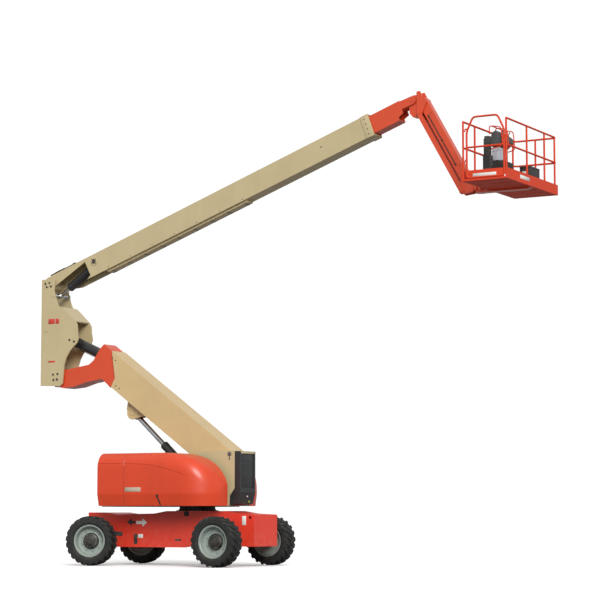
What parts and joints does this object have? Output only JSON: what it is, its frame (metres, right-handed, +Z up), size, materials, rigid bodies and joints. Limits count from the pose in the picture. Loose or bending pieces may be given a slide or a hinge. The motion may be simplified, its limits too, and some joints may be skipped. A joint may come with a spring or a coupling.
{
  "type": "articulating boom lift",
  "caption": "Articulated boom lift with a steered wheeled chassis, swinging turntable, telescoping tower and main booms, upright, jib, guarded platform and working lift rams.",
  "frame": {"origin": "middle of the base of the whole machine box at rest, on the ground", "axes": "+X from the steer axle to the drive axle, the way the main boom points; +Y to the machine left; +Z up"},
  "size_m": [11.2158, 2.7228, 9.2142],
  "materials": {
    "chassis_orange": "satin",
    "axle_orange": "satin",
    "slew_steel": "satin",
    "knuckle_black": "matte",
    "tyre_rubber": "matte",
    "rim_paint": "satin",
    "boom_cream": "satin",
    "boom_orange": "satin",
    "hood_orange": "gloss",
    "box_black": "satin",
    "weight_grey": "matte",
    "engine_grey": "matte",
    "tank_black": "matte",
    "ram_black": "gloss",
    "chrome_rod": "polished",
    "platform_orange": "satin",
    "console_grey": "satin",
    "column_black": "satin",
    "toolbox_black": "satin"
  },
  "bodies": {
    "chassis": {"chassis_frame": "chassis_orange", "slew_ring": "slew_steel", "steer_axle": "axle_orange", "drive_axle": "axle_orange"},
    "steer_right": {"steer_knuckle_right": "knuckle_black"},
    "steer_left": {"steer_knuckle_left": "knuckle_black"},
    "wheel_steer_right": {"tyre_steer_right": "tyre_rubber", "rim_steer_right": "rim_paint"},
    "wheel_steer_left": {"tyre_steer_left": "tyre_rubber", "rim_steer_left": "rim_paint"},
    "wheel_drive_right": {"tyre_drive_right": "tyre_rubber", "rim_drive_right": "rim_paint"},
    "wheel_drive_left": {"tyre_drive_left": "tyre_rubber", "rim_drive_left": "rim_paint"},
    "turntable": {"turntable_frame": "boom_cream", "end_box": "box_black", "rear_cover_right": "hood_orange", "rear_cover_left": "hood_orange", "counterweight": "weight_grey", "engine": "engine_grey", "fuel_tank": "tank_black"},
    "hood_right": {"hood_door_right": "hood_orange"},
    "hood_left": {"hood_door_left": "hood_orange"},
    "tower_base": {"tower_base_boom": "boom_cream"},
    "tower_fly": {"tower_fly_boom": "boom_orange"},
    "tower_ram_barrel": {"tower_lift_barrel": "ram_black"},
    "tower_ram_rod": {"tower_lift_rod": "chrome_rod"},
    "upright": {"upright": "boom_cream"},
    "level_ram_barrel": {"level_barrel": "ram_black"},
    "level_ram_rod": {"level_rod": "chrome_rod"},
    "main_base": {"main_base_boom": "boom_cream"},
    "main_fly": {"main_fly_boom": "boom_orange"},
    "main_ram_barrel": {"main_lift_barrel": "ram_black"},
    "main_ram_rod": {"main_lift_rod": "chrome_rod"},
    "knuckle": {"platform_knuckle": "boom_orange"},
    "jib": {"jib_boom": "boom_orange"},
    "jib_links": {"jib_link_right": "boom_orange", "jib_link_left": "boom_orange"},
    "jib_head": {"jib_head": "boom_orange"},
    "platform": {"platform_support": "platform_orange", "platform_floor": "platform_orange", "platform_rails": "platform_orange", "control_console": "console_grey", "power_column": "column_black", "tool_box": "toolbox_black"},
    "gate": {"platform_gate": "platform_orange"}
  },
  "joints": [
    {"name": "steer_right", "type": "hinge", "parent": "chassis", "child": "steer_right", "pos_m": [-3.76026, -0.82, 0.5], "axis": [0, 0, 1], "range_deg": [-53, 17]},
    {"name": "steer_left", "type": "hinge", "parent": "chassis", "child": "steer_left", "pos_m": [-3.76026, 0.82, 0.5], "axis": [0, 0, 1], "range_deg": [-53, 17]},
    {"name": "spin_steer_right", "type": "hinge", "parent": "steer_right", "child": "wheel_steer_right", "pos_m": [-3.68764, -1.0435, 0.5], "axis": [-0.309, 0.9511, 0], "continuous": true},
    {"name": "spin_steer_left", "type": "hinge", "parent": "steer_left", "child": "wheel_steer_left", "pos_m": [-3.83288, 1.0435, 0.5], "axis": [-0.309, 0.9511, 0], "continuous": true},
    {"name": "spin_drive_right", "type": "hinge", "parent": "chassis", "child": "wheel_drive_right", "pos_m": [-0.71026, -1.055, 0.5], "axis": [0, 1, 0], "continuous": true},
    {"name": "spin_drive_left", "type": "hinge", "parent": "chassis", "child": "wheel_drive_left", "pos_m": [-0.71026, 1.055, 0.5], "axis": [0, 1, 0], "continuous": true},
    {"name": "swing", "type": "hinge", "parent": "chassis", "child": "turntable", "pos_m": [-1.81526, 0, 0], "axis": [0, 0, 1], "range_deg": [-180, 180]},
    {"name": "hood_right", "type": "hinge", "parent": "turntable", "child": "hood_right", "pos_m": [-1.81526, -0.44, 2.248], "axis": [-1, 0, 0], "range_deg": [0, 60]},
    {"name": "hood_left", "type": "hinge", "parent": "turntable", "child": "hood_left", "pos_m": [-1.81526, 0.44, 2.248], "axis": [1, 0, 0], "range_deg": [0, 60]},
    {"name": "tower_lift", "type": "hinge", "parent": "turntable", "child": "tower_base", "pos_m": [-0.87526, 0, 2.2353], "axis": [0, 1, 0], "range_deg": [-36, 24]},
    {"name": "tower_telescope", "type": "slide", "parent": "tower_base", "child": "tower_fly", "axis": [-0.809, 0, 0.5878], "range_m": [0, 1.95]},
    {"name": "upright_level", "type": "hinge", "parent": "tower_fly", "child": "upright", "pos_m": [-5.20527, 0, 3.91526], "axis": [0, 1, 0], "range_deg": [-24, 36]},
    {"name": "main_lift", "type": "hinge", "parent": "upright", "child": "main_base", "pos_m": [-5.42327, 0, 5.87926], "axis": [0, -1, 0], "range_deg": [-20, 55]},
    {"name": "main_telescope", "type": "slide", "parent": "main_base", "child": "main_fly", "axis": [0.9397, 0, 0.342], "range_m": [0, 5.3]},
    {"name": "knuckle_level", "type": "hinge", "parent": "main_fly", "child": "knuckle", "pos_m": [3.14074, 0, 9.04419], "axis": [0, -1, 0], "range_deg": [-55, 20]},
    {"name": "jib_lift", "type": "hinge", "parent": "knuckle", "child": "jib", "pos_m": [3.34674, 0, 9.00619], "axis": [0, -1, 0], "range_deg": [0, 130]},
    {"name": "jib_link", "type": "hinge", "parent": "knuckle", "child": "jib_links", "pos_m": [3.28674, 0, 8.77119], "axis": [0, -1, 0], "range_deg": [0, 130]},
    {"name": "jib_head_level", "type": "hinge", "parent": "jib", "child": "jib_head", "pos_m": [4.24787, 0, 7.41343], "axis": [0, -1, 0], "range_deg": [-130, 0]},
    {"name": "platform_rotate", "type": "hinge", "parent": "jib_head", "child": "platform", "pos_m": [4.53287, 0, 7.41343], "axis": [0, 0, 1], "range_deg": [-90, 90]},
    {"name": "platform_gate", "type": "hinge", "parent": "platform", "child": "gate", "pos_m": [4.76287, -1.2, 7.41343], "axis": [0, 0, 1], "range_deg": [0, 90]},
    {"name": "tower_ram_tilt", "type": "hinge", "parent": "turntable", "child": "tower_ram_barrel", "pos_m": [-1.46826, 0, 1.391], "axis": [0, 1, 0], "range_deg": [-40, 28]},
    {"name": "tower_ram_slide", "type": "slide", "parent": "tower_ram_barrel", "child": "tower_ram_rod", "axis": [-0.7378, 0, 0.675], "range_m": [-0.64, 0.43]},
    {"name": "level_ram_tilt", "type": "hinge", "parent": "tower_fly", "child": "level_ram_barrel", "pos_m": [-3.96527, 0, 4.27026], "axis": [0, 1, 0], "range_deg": [-10, 14]},
    {"name": "level_ram_slide", "type": "slide", "parent": "level_ram_barrel", "child": "level_ram_rod", "axis": [-0.9187, 0, 0.395], "range_m": [-0.56, 0.38]},
    {"name": "main_ram_tilt", "type": "hinge", "parent": "main_base", "child": "main_ram_barrel", "pos_m": [-4.30744, 0, 6.32795], "axis": [0, -1, 0], "range_deg": [-6, 3]},
    {"name": "main_ram_slide", "type": "slide", "parent": "main_ram_barrel", "child": "main_ram_rod", "axis": [-0.8194, 0, -0.5732], "range_m": [-0.09, 0.24]}
  ],
  "couplings": [
    {"joint": "steer_left", "follows": "steer_right", "ratio": 1},
    {"joint": "upright_level", "follows": "tower_lift", "ratio": -1},
    {"joint": "knuckle_level", "follows": "main_lift", "ratio": -1},
    {"joint": "jib_link", "follows": "jib_lift", "ratio": 1},
    {"joint": "jib_head_level", "follows": "jib_lift", "ratio": -1},
    {"joint": "tower_ram_tilt", "follows": "tower_lift", "ratio": 0.99},
    {"joint": "tower_ram_slide", "follows": "tower_lift", "m_per_rad": 1},
    {"joint": "level_ram_tilt", "follows": "tower_lift", "ratio": -0.361},
    {"joint": "level_ram_slide", "follows": "tower_lift", "m_per_rad": 0.85},
    {"joint": "main_ram_tilt", "follows": "main_lift", "ratio": -0.071},
    {"joint": "main_ram_slide", "follows": "main_lift", "m_per_rad": 0.245}
  ]
}
